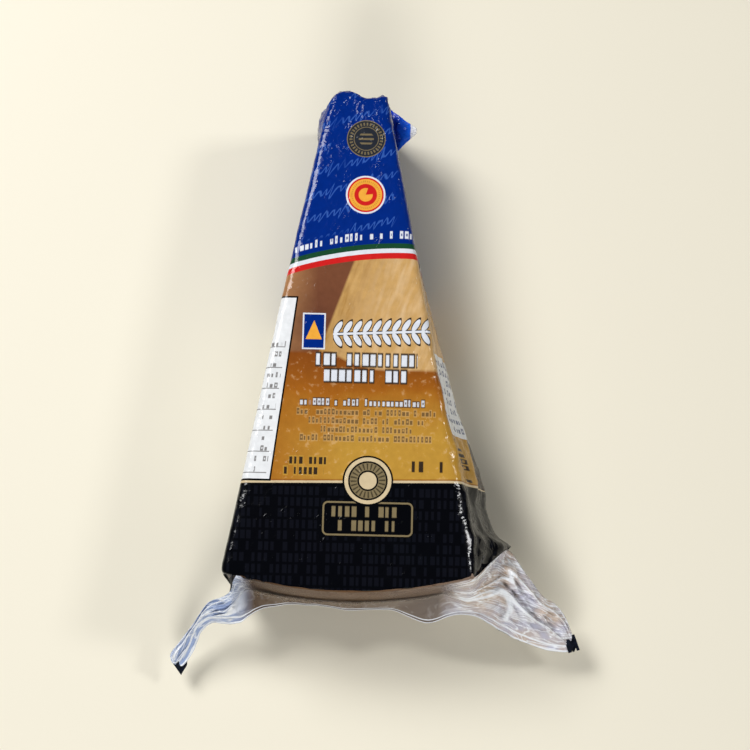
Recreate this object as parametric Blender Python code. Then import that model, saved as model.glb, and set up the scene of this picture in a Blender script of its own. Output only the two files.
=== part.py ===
"""A sealed retail pack of hard cheese: a wedge in tight printed shrink film, lying on its back.

Metres, +Z up. The apex points to +Y and the rind to -Y, and the pack rests on z = 0.
The origin is the middle of the pack's box, on the surface that it rests on.

wrapped_wedge    the cheese in its printed film, which stands off the sides in a low tent
clear_end_film   the clear end of the bag: the seal across the rind and its two long ears
apex_tab         the corner of the bag's other seal, folded out beside the apex
"""

import math

import bmesh
import bpy
from mathutils import Vector

MM = 0.001
GAP = 0.3 * MM

# The cheese wedge
THICKNESS = 46 * MM
FACE_LENGTH = 173 * MM
APEX_WIDTH = 20.5 * MM
RIND_WIDTH = 89 * MM
RIND_SAG = 6 * MM
RIND_BARREL = 1.2 * MM
EDGE_RADIUS = 3.2 * MM
EDGE_SEGMENTS = 3
WEDGE_CUTS = (12, 22, 7)

# The printed film stands off both sides half way up, most of all near the rind on the right,
# and comes back to the cheese at the line where the clear end begins
SLACK_RIGHT = 1.2 * MM
SLACK_LEFT = 0.5 * MM
TENT_RIGHT = 13.3 * MM
TENT_LEFT = 0.6 * MM
TENT_REACH = 122 * MM
TENT_FALL = 1.3
PRINT_CORNER = 14 * MM

RING_SIDES = 20
STEPS_PER_SPAN = 5

# The clear end, from the left ear's tip along the seal to the right ear's tip.
# Each station is x, y and z of the middle, then half the width and half the height, in millimetres
# from the middle of the rind's chord.
END_STATIONS = (
    (-59.6, -31.0, 8.5, 1.6, 1.4),
    (-59.8, -26.0, 10.5, 3.3, 2.6),
    (-57.0, -19.2, 14.5, 3.8, 3.4),
    (-52.2, -13.8, 18.5, 3.6, 4.2),
    (-45.6, -10.0, 21.5, 4.6, 5.2),
    (-37.4, -8.2, 23.0, 5.6, 5.0),
    (-29.0, -6.0, 23.0, 4.0, 3.0),
    (-16.0, -5.6, 23.0, 3.2, 2.2),
    (0.0, -6.2, 23.0, 3.6, 2.2),
    (15.0, -6.4, 23.0, 4.0, 2.6),
    (28.0, -6.2, 23.0, 6.6, 4.4),
    (37.0, -3.4, 23.0, 8.0, 9.0),
    (43.5, 0.6, 23.0, 12.5, 14.0),
    (50.0, -0.6, 22.0, 14.8, 11.5),
    (58.0, -6.0, 20.0, 12.2, 8.0),
    (65.5, -11.0, 17.5, 9.4, 5.6),
    (72.5, -14.8, 14.5, 7.8, 4.4),
    (78.0, -17.8, 12.0, 4.9, 3.0),
    (82.6, -20.4, 10.5, 2.0, 1.6),
)

# The tab beside the apex, from inside the wedge to its tip, with the same five values
TAB_STATIONS = (
    (5.3, 166.0, 24.0, 8.4, 5.0),
    (10.3, 166.0, 25.0, 8.2, 4.2),
    (15.0, 165.0, 27.0, 6.8, 2.8),
    (18.9, 164.8, 28.5, 3.8, 1.5),
    (21.5, 164.2, 29.0, 1.5, 0.9),
)


def clear_scene():
    for obj in list(bpy.data.objects):
        bpy.data.objects.remove(obj, do_unlink=True)


def material(name, colour, roughness):
    made = bpy.data.materials.new(name)
    made.use_nodes = True
    shader = made.node_tree.nodes["Principled BSDF"]
    shader.inputs["Base Color"].default_value = (*colour, 1.0)
    shader.inputs["Roughness"].default_value = roughness
    shader.inputs["Metallic"].default_value = 0.0
    return made


def add_object(name, bm, parent, finish):
    mesh = bpy.data.meshes.new(name)
    bmesh.ops.recalc_face_normals(bm, faces=bm.faces)
    bm.to_mesh(mesh)
    bm.free()
    mesh.materials.append(finish)
    mesh.shade_smooth()
    mesh.set_sharp_from_angle(angle=math.radians(50))
    obj = bpy.data.objects.new(name, mesh)
    bpy.context.scene.collection.objects.link(obj)
    obj.parent = parent
    return obj


def stand_off(y, slack, peak):
    """How far the film stands off a side, half way up, at this distance from the rind's chord."""
    share = min(max(1 - y / TENT_REACH, 0.0), 1.0)
    corner = min(max(y / PRINT_CORNER, 0.0), 1.0)
    return (slack + peak * share**TENT_FALL) * corner


def wedge_point(across, along, up):
    """The place of a point of the box -1..1 across, 0..1 from rind to apex and 0..1 up."""
    barrel = RIND_BARREL * (1 - (2 * up - 1) ** 2)
    rind = -RIND_SAG * (1 - across**2) - barrel
    y = rind + (FACE_LENGTH - rind) * along
    half_width = (RIND_WIDTH + (APEX_WIDTH - RIND_WIDTH) * max(y, 0.0) / FACE_LENGTH) / 2
    side = (SLACK_RIGHT, TENT_RIGHT) if across > 0 else (SLACK_LEFT, TENT_LEFT)
    half_width += stand_off(y, *side) * (1 - abs(2 * up - 1))
    return Vector((across * half_width, y, up * THICKNESS))


def on_box_edge(edge):
    """True where an edge of the cut box lies along one of the box's own twelve edges."""
    limits = [abs(edge.verts[0].co[k] - edge.verts[1].co[k]) < 1e-6 for k in range(3)]
    outer = [abs(abs(edge.verts[0].co[k]) - 1) < 1e-6 and limits[k] for k in range(3)]
    return sum(outer) == 2


def wedge_mesh():
    """A box cut into a grid, moved to the wedge's shape, with its long edges rounded."""
    bm = bmesh.new()
    bmesh.ops.create_cube(bm, size=2)
    for axis, cuts in enumerate(WEDGE_CUTS):
        normal = [float(k == axis) for k in range(3)]
        for i in range(1, cuts + 1):
            place = [n * (2 * i / (cuts + 1) - 1) for n in normal]
            geometry = bm.verts[:] + bm.edges[:] + bm.faces[:]
            bmesh.ops.bisect_plane(bm, geom=geometry, plane_co=place, plane_no=normal)
    sharp = [edge for edge in bm.edges if on_box_edge(edge)]
    for vert in bm.verts:
        across, along, up = vert.co
        vert.co = wedge_point(across, (along + 1) / 2, (up + 1) / 2)
    bmesh.ops.bevel(
        bm,
        geom=sharp,
        offset=EDGE_RADIUS,
        offset_type="OFFSET",
        segments=EDGE_SEGMENTS,
        profile=0.5,
        affect="EDGES",
        clamp_overlap=True,
        material=-1,
    )
    bmesh.ops.triangulate(bm, faces=bm.faces)
    return bm


def smooth_stations(stations):
    """The stations' values read from a smooth curve through all of them, in metres."""
    ends = (stations[0], *stations, stations[-1])
    found = []
    for before, start, end, after in zip(ends, ends[1:], ends[2:], ends[3:]):
        for step in range(STEPS_PER_SPAN):
            t = step / STEPS_PER_SPAN
            found.append(
                [
                    0.5 * MM * (2 * p1 + (p2 - p0) * t + (2 * p0 - 5 * p1 + 4 * p2 - p3) * t**2
                                + (3 * p1 - p0 - 3 * p2 + p3) * t**3)
                    for p0, p1, p2, p3 in zip(before, start, end, after)
                ]
            )
    found.append([value * MM for value in stations[-1]])
    return found


def swept_mesh(stations):
    """A closed tube of oval sections, each square to the path as seen from above."""
    bm = bmesh.new()
    points = smooth_stations(stations)
    rings = []
    for i, (x, y, z, half_width, half_height) in enumerate(points):
        before, after = points[max(i - 1, 0)], points[min(i + 1, len(points) - 1)]
        ahead = Vector((after[0] - before[0], after[1] - before[1], 0)).normalized()
        side = Vector((-ahead.y, ahead.x, 0))
        ring = bmesh.ops.create_circle(bm, segments=RING_SIDES, radius=1)["verts"]
        for vert in ring:
            flat = side * (vert.co.x * half_width)
            vert.co = Vector((x, y, z + vert.co.y * half_height)) + flat
        rings.append(ring)
    for near, far in zip(rings, rings[1:]):
        edges = {e for v in (*near, *far) for e in v.link_edges if e.is_boundary or e.is_wire}
        both = set(near) | set(far)
        bmesh.ops.bridge_loops(bm, edges=[e for e in edges if set(e.verts) <= both])
    for ring in (rings[0], rings[-1]):
        bm.faces.new(ring)
    return bm


def add_clearance(name, source, parent):
    """A hidden copy of a solid, grown by the gap, that cuts room for it out of its neighbours."""
    bm = bmesh.new()
    bm.from_mesh(source.data)
    bm.normal_update()
    for vert in bm.verts:
        vert.co += vert.normal * (GAP * vert.calc_shell_factor())
    cutter = add_object(name, bm, parent, source.data.materials[0])
    cutter.hide_render = True
    cutter.display_type = "WIRE"
    return cutter


def cut_by(obj, cutter):
    cut = obj.modifiers.new("room for the wedge", "BOOLEAN")
    cut.operation = "DIFFERENCE"
    cut.solver = "EXACT"
    cut.object = cutter


def centre_on_origin(stand, objects):
    """Moves the stand so that the middle of the box round these objects is over the origin."""
    bpy.context.view_layer.update()
    corners = [obj.matrix_world @ Vector(c) for obj in objects for c in obj.bound_box]
    for axis in range(2):
        values = [corner[axis] for corner in corners]
        stand.location[axis] = -(min(values) + max(values)) / 2
    bpy.context.view_layer.update()


def main():
    clear_scene()
    printed = material("printed_film", (0.02, 0.05, 0.28), 0.3)
    clear = material("clear_film", (0.75, 0.74, 0.76), 0.2)
    stand = bpy.data.objects.new("stand", None)
    bpy.context.scene.collection.objects.link(stand)

    wedge = add_object("wrapped_wedge", wedge_mesh(), stand, printed)
    clearance = add_clearance("wedge_clearance", wedge, stand)
    end_film = add_object("clear_end_film", swept_mesh(END_STATIONS), stand, clear)
    tab = add_object("apex_tab", swept_mesh(TAB_STATIONS), stand, printed)
    cut_by(end_film, clearance)
    cut_by(tab, clearance)
    centre_on_origin(stand, (wedge, end_film, tab))


main()
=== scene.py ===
# %% [markdown]
# # A sealed pack of hard cheese
#
# The object is a long wedge cut from a cheese wheel, shrink-wrapped in a printed film bag. The film is
# opaque with ink almost everywhere, and clear only round the rind, where the bag is welded shut. The two
# ends of that weld stick out as long crumpled ears. The pack lies on its back, apex away from us.
#
# We build it as the factory does: the cheese first, then the printed film round it, then the clear end
# with its weld and ears, and at last the folded tab beside the apex.

import math

import bmesh
import bpy
from mathutils import Matrix, Vector, noise


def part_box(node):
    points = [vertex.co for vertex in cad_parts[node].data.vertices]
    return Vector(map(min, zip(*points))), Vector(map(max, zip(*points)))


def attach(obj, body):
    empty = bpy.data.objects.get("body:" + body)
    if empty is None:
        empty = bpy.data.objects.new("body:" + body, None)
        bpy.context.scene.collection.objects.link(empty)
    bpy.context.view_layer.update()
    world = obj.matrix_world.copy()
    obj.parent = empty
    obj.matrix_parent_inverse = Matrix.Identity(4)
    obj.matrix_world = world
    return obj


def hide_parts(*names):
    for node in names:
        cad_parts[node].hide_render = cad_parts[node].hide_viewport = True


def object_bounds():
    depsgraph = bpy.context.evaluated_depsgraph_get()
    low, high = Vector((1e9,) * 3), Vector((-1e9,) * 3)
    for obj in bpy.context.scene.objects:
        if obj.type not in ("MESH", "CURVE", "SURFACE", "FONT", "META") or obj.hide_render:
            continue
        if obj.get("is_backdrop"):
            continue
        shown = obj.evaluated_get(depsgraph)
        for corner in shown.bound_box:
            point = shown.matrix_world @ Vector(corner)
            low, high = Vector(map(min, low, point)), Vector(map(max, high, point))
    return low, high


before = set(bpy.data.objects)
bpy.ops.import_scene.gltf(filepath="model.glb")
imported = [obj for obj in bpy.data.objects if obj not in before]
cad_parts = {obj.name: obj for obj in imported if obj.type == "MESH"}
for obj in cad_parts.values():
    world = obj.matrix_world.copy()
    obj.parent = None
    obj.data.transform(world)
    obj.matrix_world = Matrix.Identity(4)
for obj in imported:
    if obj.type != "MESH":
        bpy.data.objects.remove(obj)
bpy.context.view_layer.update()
scene = bpy.context.scene
print("solids to dress:", sorted(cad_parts))

# %% [markdown]
# ## One ruler for everything
#
# All sizes below are in millimetres from the middle of the rind's chord: x to the right, y towards the
# apex, z up from the table. One small function carries a point to Blender's metres. The chord and the
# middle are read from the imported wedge, so the looks can't drift away from the solids.

# %% The wedge's own millimetres
MM = 0.001
THICKNESS = 46.0
FACE_LENGTH = 173.0
RIND_HALF = 44.5
APEX_HALF = 10.25
RIND_SAG = 6.0
RIND_BARREL = 1.2

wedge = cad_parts["wrapped_wedge"]
wedge_low, wedge_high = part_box("wrapped_wedge")
front_x = [v.co.x for v in wedge.data.vertices if v.co.z > wedge_high.z - 0.1 * MM]
MIDDLE = (min(front_x) + max(front_x)) / 2
CHORD = wedge_high.y - FACE_LENGTH * MM


def to_scene(x, y, z):
    return Vector((MIDDLE + x * MM, CHORD + y * MM, z * MM))


def half_width(y):
    """Half the width of the cheese at this distance from the chord."""
    return RIND_HALF + (APEX_HALF - RIND_HALF) * y / FACE_LENGTH


def rind_wall(x, z):
    """How far forward the rind stands at this place on it."""
    sag = RIND_SAG * (1 - min(abs(x) / RIND_HALF, 1) ** 2)
    return -sag - RIND_BARREL * (1 - (2 * z / THICKNESS - 1) ** 2)


def blend(value, start, end):
    """0 before start, 1 after end and a soft step between them; start may be the larger."""
    share = min(max((value - start) / (end - start), 0.0), 1.0)
    return share * share * (3 - 2 * share)


def mix(a, b, share):
    return a + (b - a) * share


def narrower(x, y):
    """The left side lies closer to the middle than the right one, most of all near the rind."""
    return 1.5 * blend(y, 135, 5) * blend(-x, 8, 42)


print(f"the wedge is {(wedge_high.x - wedge_low.x) / MM:.1f} mm wide with its film")

# %% [markdown]
# ## Building shaders from small words
#
# Ink on film is a stack of flat colours, each laid where a mask says so. Masks are plain arithmetic on
# the place of a point, so we need only a few words: `calc` for a sum, `above` and `within` for soft-edged
# comparisons, and `paint` to lay a colour over what is there.

# %% Words for node trees
def plug(tree, value, socket):
    """Feeds a socket with another node's output or sets it to a plain value."""
    if isinstance(value, bpy.types.NodeSocket):
        tree.links.new(value, socket)
    else:
        socket.default_value = value


def calc(tree, operation, *values):
    node = tree.nodes.new("ShaderNodeMath")
    node.operation = operation
    for value, socket in zip(values, node.inputs):
        plug(tree, value, socket)
    return node.outputs[0]


def clamp(tree, value):
    node = tree.nodes.new("ShaderNodeClamp")
    plug(tree, value, node.inputs["Value"])
    return node.outputs[0]


def above(tree, value, edge, soft=0.12):
    """1 where the value is past the edge, 0 before it."""
    start = calc(tree, "SUBTRACT", value, edge)
    return clamp(tree, calc(tree, "MULTIPLY_ADD", start, 1 / soft, 0.5))


def below(tree, value, edge, soft=0.12):
    return calc(tree, "SUBTRACT", 1.0, above(tree, value, edge, soft))


def both(tree, *masks):
    result = masks[0]
    for mask in masks[1:]:
        result = calc(tree, "MULTIPLY", result, mask)
    return result


def within(tree, value, low, high, soft=0.12):
    return both(tree, above(tree, value, low, soft), below(tree, value, high, soft))


def paint(tree, under, colour, mask):
    """The colour over what is under it, where the mask is 1."""
    node = tree.nodes.new("ShaderNodeMix")
    node.data_type = "RGBA"
    node.clamp_factor = True
    plug(tree, mask, node.inputs["Factor"])
    plug(tree, under, node.inputs["A"])
    plug(tree, colour, node.inputs["B"])
    return node.outputs["Result"]


def ink(red, green, blue):
    """A colour given as 0 to 255 on a screen, as the light values that a shader wants."""
    values = [c / 255 for c in (red, green, blue)]
    linear = [c / 12.92 if c <= 0.04045 else ((c + 0.055) / 1.055) ** 2.4 for c in values]
    return (*linear, 1.0)


def ruler_coordinates(tree):
    """A point's place in the ruler's millimetres, whole and as three numbers."""
    place = tree.nodes.new("ShaderNodeTexCoord").outputs["Object"]
    ruler = tree.nodes.new("ShaderNodeMapping")
    ruler.inputs["Scale"].default_value = (1 / MM,) * 3
    ruler.inputs["Location"].default_value = (-MIDDLE / MM, -CHORD / MM, 0)
    tree.links.new(place, ruler.inputs["Vector"])
    parts = tree.nodes.new("ShaderNodeSeparateXYZ")
    tree.links.new(ruler.outputs[0], parts.inputs[0])
    return ruler.outputs[0], *parts.outputs


def combine(tree, x, y, z=0.0):
    node = tree.nodes.new("ShaderNodeCombineXYZ")
    for value, socket in zip((x, y, z), node.inputs):
        plug(tree, value, socket)
    return node.outputs[0]


def clouds(tree, vector, scale, detail=2.0, kind="FBM", roughness=0.5):
    node = tree.nodes.new("ShaderNodeTexNoise")
    node.noise_type = kind
    plug(tree, vector, node.inputs["Vector"])
    plug(tree, scale, node.inputs["Scale"])
    node.inputs["Detail"].default_value = detail
    node.inputs["Roughness"].default_value = roughness
    if kind == "RIDGED_MULTIFRACTAL":
        node.inputs["Offset"].default_value = 1.0
    return node.outputs[0]


def new_group(name, inputs, outputs):
    """An empty shader group with these sockets, and its two end nodes."""
    group = bpy.data.node_groups.new(name, "ShaderNodeTree")
    for label, kind in inputs:
        group.interface.new_socket(label, in_out="INPUT", socket_type=kind)
    for label, kind in outputs:
        group.interface.new_socket(label, in_out="OUTPUT", socket_type=kind)
    return group, group.nodes.new("NodeGroupInput").outputs, group.nodes.new("NodeGroupOutput").inputs


def use_group(tree, group, **values):
    node = tree.nodes.new("ShaderNodeGroup")
    node.node_tree = group
    for label, value in values.items():
        plug(tree, value, node.inputs[label.replace("_", " ")])
    return node.outputs


def new_material(name, roughness, specular=0.5):
    made = bpy.data.materials.new(name)
    made.use_nodes = True
    shader = made.node_tree.nodes["Principled BSDF"]
    shader.inputs["Roughness"].default_value = roughness
    shader.inputs["Specular IOR Level"].default_value = specular
    return made, made.node_tree, shader


def add_bump(tree, shader, height, distance, strength=1.0):
    bump = tree.nodes.new("ShaderNodeBump")
    bump.inputs["Strength"].default_value = strength
    bump.inputs["Distance"].default_value = distance
    tree.links.new(height, bump.inputs["Height"])
    tree.links.new(bump.outputs[0], shader.inputs["Normal"])


# %% [markdown]
# ## Wrinkles that every film shares
#
# Shrink film never lies quite flat. Ridged noise gives thin crests like pinched plastic, and a wider
# noise decides where they gather. The same group serves the printed film, the tab and the clear end, each
# with its own size.

# %% The wrinkle group
wrinkles, given, result = new_group(
    "film wrinkles",
    [("Place", "NodeSocketVector"), ("Density", "NodeSocketFloat"), ("Gather", "NodeSocketFloat")],
    [("Height", "NodeSocketFloat")],
)
crests = clouds(wrinkles, given["Place"], given["Density"], 3.0, "RIDGED_MULTIFRACTAL")
patches = clouds(wrinkles, given["Place"], calc(wrinkles, "MULTIPLY", given["Density"], 0.35))
patches = calc(wrinkles, "MULTIPLY_ADD", patches, 2.2, -0.75)
patches = calc(wrinkles, "MAXIMUM", calc(wrinkles, "ADD", patches, given["Gather"]), 0.0)
plug(wrinkles, calc(wrinkles, "MULTIPLY", crests, patches), result["Height"])
print("wrinkle group:", len(wrinkles.nodes), "nodes")

# %% [markdown]
# ## Print that is not writing
#
# The pack carries no words. Where a real one has lines of type, this one has rows of small blocks that
# break up the colour in the same rhythm. One group makes them: it counts letter cells along a row and
# rows down a column, draws a number for each cell, and leaves some cells empty as word gaps.

# %% The group for rows of small blocks
rows, given, result = new_group(
    "rows of blocks",
    [(label, "NodeSocketFloat")
     for label in ("Along", "Down", "Width", "Rows", "Pitch", "Step", "Fill", "Even")],
    [("Blocks", "NodeSocketFloat"), ("Halo", "NodeSocketFloat")],
)
row_place = calc(rows, "DIVIDE", given["Down"], given["Pitch"])
row = calc(rows, "FLOOR", row_place)
in_row = calc(rows, "ABSOLUTE", calc(rows, "SUBTRACT", calc(rows, "FRACT", row_place), 0.5))
cell_place = calc(rows, "DIVIDE", given["Along"], given["Step"])
cell = calc(rows, "FLOOR", cell_place)
in_cell = calc(rows, "FRACT", cell_place)
draw = rows.nodes.new("ShaderNodeTexWhiteNoise")
draw.noise_dimensions = "3D"
rows.links.new(combine(rows, cell, row, calc(rows, "MULTIPLY", given["Step"], 7.3)), draw.inputs["Vector"])
draws = rows.nodes.new("ShaderNodeSeparateColor")
rows.links.new(draw.outputs["Color"], draws.inputs[0])
shown = above(rows, draws.outputs[0], 0.16, 0.01)
inset = calc(rows, "MULTIPLY", calc(rows, "FRACT", calc(rows, "MULTIPLY", row, 0.37)), 0.24)
inset = calc(rows, "MULTIPLY", inset, given["Width"])
inside = both(
    rows,
    above(rows, given["Along"], inset, 0.2),
    below(rows, given["Along"], calc(rows, "SUBTRACT", given["Width"], inset), 0.2),
    above(rows, row_place, 0.0, 0.02),
    below(rows, row_place, given["Rows"], 0.02),
)
shown = both(rows, shown, inside)
half_fill = calc(rows, "MULTIPLY", given["Fill"], 0.5)
uneven = calc(rows, "SUBTRACT", 1.0, given["Even"])
low = both(rows, calc(rows, "SUBTRACT", 1.0, above(rows, draws.outputs[2], 0.55, 0.01)), uneven, 0.3)
from_foot = calc(rows, "SUBTRACT", calc(rows, "FRACT", row_place), calc(rows, "MULTIPLY", low, given["Fill"]))
wide = calc(rows, "MULTIPLY_ADD", draws.outputs[1], 0.4, 0.48)
tall = calc(rows, "SUBTRACT", 0.5, half_fill)
foot = calc(rows, "ADD", 0.5, half_fill)
stroke = both(
    rows,
    within(rows, in_cell, 0.1, wide, 0.1),
    above(rows, from_foot, tall, 0.08),
    below(rows, calc(rows, "FRACT", row_place), foot, 0.08),
)
notch = both(
    rows,
    within(rows, in_cell, 0.3, calc(rows, "SUBTRACT", wide, 0.16), 0.06),
    below(rows, in_row, calc(rows, "MULTIPLY", half_fill, 0.35), 0.08),
    above(rows, draws.outputs[2], 0.5, 0.01),
    uneven,
)
stroke = calc(rows, "MULTIPLY", stroke, calc(rows, "MULTIPLY_ADD", notch, -0.8, 1.0))
plug(rows, both(rows, stroke, shown), result["Blocks"])
halo = both(
    rows,
    within(rows, in_cell, -0.1, calc(rows, "ADD", wide, 0.18), 0.12),
    above(rows, from_foot, calc(rows, "SUBTRACT", tall, 0.12), 0.1),
    below(rows, calc(rows, "FRACT", row_place), calc(rows, "ADD", foot, 0.12), 0.1),
)
plug(rows, both(rows, halo, shown), result["Halo"])
print("rows group:", len(rows.nodes), "nodes")

# %% [markdown]
# ## The printed film
#
# The design runs round the pack like a sleeve, so it needs an unrolled ruler: `u` starts at the middle of
# the front, passes over the edge, goes down the side wall and comes back along the underside, while `v`
# stays the distance from the rind. Every field below is placed in u and v, in millimetres.

# %% Unrolling the sleeve
film_print, tree, film_shader = new_material("printed film", 0.2, 0.26)
ruler, x, y, z = ruler_coordinates(tree)
v = y
side = calc(tree, "SIGN", x)
from_middle = calc(tree, "ABSOLUTE", x)
half = calc(tree, "MULTIPLY_ADD", y, (APEX_HALF - RIND_HALF) / FACE_LENGTH, RIND_HALF)
down_wall = calc(tree, "MAXIMUM", calc(tree, "SUBTRACT", THICKNESS - 1.0, z), 0.0)
over_edge = calc(tree, "ADD", calc(tree, "MINIMUM", from_middle, half), down_wall)
underneath = calc(tree, "SUBTRACT", calc(tree, "MULTIPLY_ADD", half, 2.0, THICKNESS), from_middle)
under_mask = below(tree, z, 1.2, 0.6)
reach = calc(tree, "MULTIPLY_ADD", calc(tree, "SUBTRACT", underneath, over_edge), under_mask, over_edge)
u = calc(tree, "MULTIPLY", reach, side)
past_edge = calc(tree, "SUBTRACT", reach, half)
on_front = above(tree, z, THICKNESS - 5.0, 4.0)
right = above(tree, x, 0.0, 0.1)
left = below(tree, x, 0.0, 0.1)
flat = combine(tree, u, v)
print("the sleeve is unrolled with", len(tree.nodes), "nodes")

# %% [markdown]
# The upper part is a blue field with a faint, lighter flourish, closed by three arched ribbons. Below it
# lies a picture of cheese: we keep only its fields of colour, a brown crust on the left, pale cheese on
# the right and amber under both. A cream line and a black band end the print.

# %% Inks
BLUE = ink(0, 38, 122)
FLOURISH = ink(70, 116, 200)
GREEN = ink(24, 70, 44)
WHITE = ink(216, 220, 228)
RED = ink(200, 32, 32)
CRUST = ink(114, 70, 48)
CRUST_DARK = ink(82, 46, 36)
CRUST_LIGHT = ink(164, 118, 78)
CHEESE = ink(196, 156, 98)
CHEESE_PALE = ink(212, 178, 132)
CHEESE_OLIVE = ink(160, 116, 48)
AMBER_DARK = ink(128, 68, 22)
AMBER = ink(158, 94, 26)
GOLD = ink(184, 140, 56)
CREAM = ink(205, 186, 150)
BLACK = ink(3, 4, 8)
CHARCOAL = ink(38, 42, 50)
OLD_GOLD = ink(126, 112, 82)
YELLOW = ink(232, 164, 60)
DARK_TYPE = ink(52, 40, 30)


def disc(radius, centre, soft=0.15):
    """A round mask on the flat design, and the distance from its centre."""
    node = tree.nodes.new("ShaderNodeVectorMath")
    node.operation = "DISTANCE"
    tree.links.new(flat, node.inputs[0])
    node.inputs[1].default_value = (*centre, 0)
    return below(tree, node.outputs["Value"], radius, soft), node.outputs["Value"]


def box(low_u, high_u, low_v, high_v, soft=0.15):
    return both(tree, within(tree, u, low_u, high_u, soft), within(tree, v, low_v, high_v, soft))


# %% Fields of colour
ARCH_CREST, ARCH_BEND = 17.0, 0.00418
to_crest = calc(tree, "SUBTRACT", u, ARCH_CREST)
arch = calc(tree, "MULTIPLY_ADD", calc(tree, "MULTIPLY", to_crest, to_crest), ARCH_BEND, v)
broad = clouds(tree, ruler, 0.06, 3.0)
fine = clouds(tree, ruler, 0.45, 3.0)

colour = paint(tree, CRUST_LIGHT, CRUST, calc(tree, "MULTIPLY_ADD", u, 0.09, 2.1))
darker = both(tree, below(tree, v, 90.0, 26.0), above(tree, broad, 0.46, 0.5))
colour = paint(tree, colour, CRUST_DARK, darker)
slope = calc(tree, "MULTIPLY_ADD", v, 0.348, 0.4 - 0.348 * 111.2)
foot = calc(tree, "MAXIMUM", calc(tree, "SUBTRACT", 12.0, u), 0.0)
foot = calc(tree, "MULTIPLY_ADD", calc(tree, "MULTIPLY", foot, foot), 0.016, 71.6)
foot = calc(tree, "MINIMUM", foot, 77.5)
strokes = combine(tree, calc(tree, "MULTIPLY_ADD", v, -0.3, u), calc(tree, "MULTIPLY", v, 0.22))
grain = clouds(tree, strokes, 0.42, 3.0)
cheese = paint(tree, CHEESE, CHEESE_PALE, above(tree, grain, 0.56, 0.3))
near_crust = below(tree, calc(tree, "SUBTRACT", u, slope), 9.0, 14.0)
cheese = paint(tree, cheese, CHEESE_OLIVE, both(tree, near_crust, above(tree, grain, 0.5, 0.35)))
colour = paint(tree, colour, cheese, above(tree, calc(tree, "SUBTRACT", u, slope), 0.0, 0.8))

ground = paint(tree, GOLD, AMBER, above(tree, calc(tree, "MULTIPLY_ADD", broad, 26.0, v), 68.0, 18.0))
ground = paint(tree, ground, AMBER, both(tree, below(tree, u, -14.0, 26.0), 0.8))
ground = paint(tree, ground, AMBER_DARK, above(tree, calc(tree, "MULTIPLY_ADD", broad, 10.0, v), 74.5, 14.0))
ground = paint(tree, ground, CHEESE_PALE, both(tree, above(tree, fine, 0.66, 0.12), 0.35))
colour = paint(tree, colour, ground, below(tree, calc(tree, "SUBTRACT", v, foot), 0.0, 1.2))

for edge, tone in ((111.7, RED), (113.8, WHITE), (115.4, GREEN), (117.3, BLUE)):
    colour = paint(tree, colour, tone, above(tree, arch, edge))

cream_edge = calc(tree, "MULTIPLY_ADD", u, -0.02, v)
colour = paint(tree, colour, AMBER_DARK, both(tree, below(tree, cream_edge, 33.0, 0.3), 0.6))
colour = paint(tree, colour, CREAM, below(tree, cream_edge, 32.5, 0.2))
colour = paint(tree, colour, BLACK, below(tree, cream_edge, 31.7, 0.2))
print("fields laid,", len(tree.nodes), "nodes so far")

# %% [markdown]
# Now the small print. The faint flourish on the blue is a bundle of looping lines on a slant: a sine whose
# height and phase wander with a noise. The rows of blocks stand for lines of type, white, dark or nearly
# black on black.

# %% Flourishes and rows
LINE_PITCH, LOOP_PITCH = 8.4, 2.3
lean = calc(tree, "MULTIPLY_ADD", u, -0.3, v)
line_place = calc(tree, "DIVIDE", lean, LINE_PITCH)
line_number = calc(tree, "FLOOR", line_place)
in_line = calc(tree, "MULTIPLY_ADD", calc(tree, "FRACT", line_place), LINE_PITCH, -LINE_PITCH / 2)
slanted = calc(tree, "MULTIPLY_ADD", in_line, -0.5, u)
beat = calc(tree, "MULTIPLY_ADD", slanted, 2 * math.pi / LOOP_PITCH, calc(tree, "MULTIPLY", line_number, 1.7))
hand_place = combine(tree, calc(tree, "MULTIPLY", slanted, 0.3), calc(tree, "MULTIPLY", line_number, 9.0))
hand = clouds(tree, hand_place, 1.0, 1.0)
loop_height = calc(tree, "MULTIPLY_ADD", above(tree, hand, 0.58, 0.08), 1.5, 0.85)
beat = calc(tree, "MULTIPLY_ADD", hand, 9.0, beat)
swing = calc(tree, "MULTIPLY", calc(tree, "SINE", beat), loop_height)
steep = calc(tree, "MULTIPLY", calc(tree, "ABSOLUTE", calc(tree, "COSINE", beat)), loop_height)
off_line = calc(tree, "ABSOLUTE", calc(tree, "SUBTRACT", in_line, swing))
off_line = calc(tree, "DIVIDE", off_line, calc(tree, "MULTIPLY_ADD", steep, 2.0, 1.0))
word_place = combine(tree, calc(tree, "MULTIPLY", slanted, 0.085), line_number)
words = above(tree, clouds(tree, word_place, 1.0, 0.0), 0.38, 0.06)
pen = below(tree, off_line, 0.22, 0.18)
written = both(tree, pen, words, above(tree, arch, 122.6, 1.5))
colour = paint(tree, colour, FLOURISH, both(tree, written, 0.48))


def block_rows(low_u, top_v, width, count, pitch, step, fill, even=0.0, along=u, down=None):
    """Rows of blocks from this corner: their mask and a wider one for an outline."""
    down = v if down is None else down
    return use_group(
        tree,
        rows,
        Along=calc(tree, "SUBTRACT", along, low_u),
        Down=calc(tree, "SUBTRACT", top_v, down),
        Width=width,
        Rows=count,
        Pitch=pitch,
        Step=step,
        Fill=fill,
        Even=even,
    )


def lay_rows(under, made, fill_ink, halo_ink, where=1.0, strength=1.0):
    under = paint(tree, under, halo_ink, both(tree, made["Halo"], where, strength))
    return paint(tree, under, fill_ink, both(tree, made["Blocks"], where, strength))


made = block_rows(-70.0, 122.2, 140.0, 1.0, 3.6, 1.75, 0.76, down=arch)
colour = lay_rows(colour, made, WHITE, BLUE)
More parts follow.
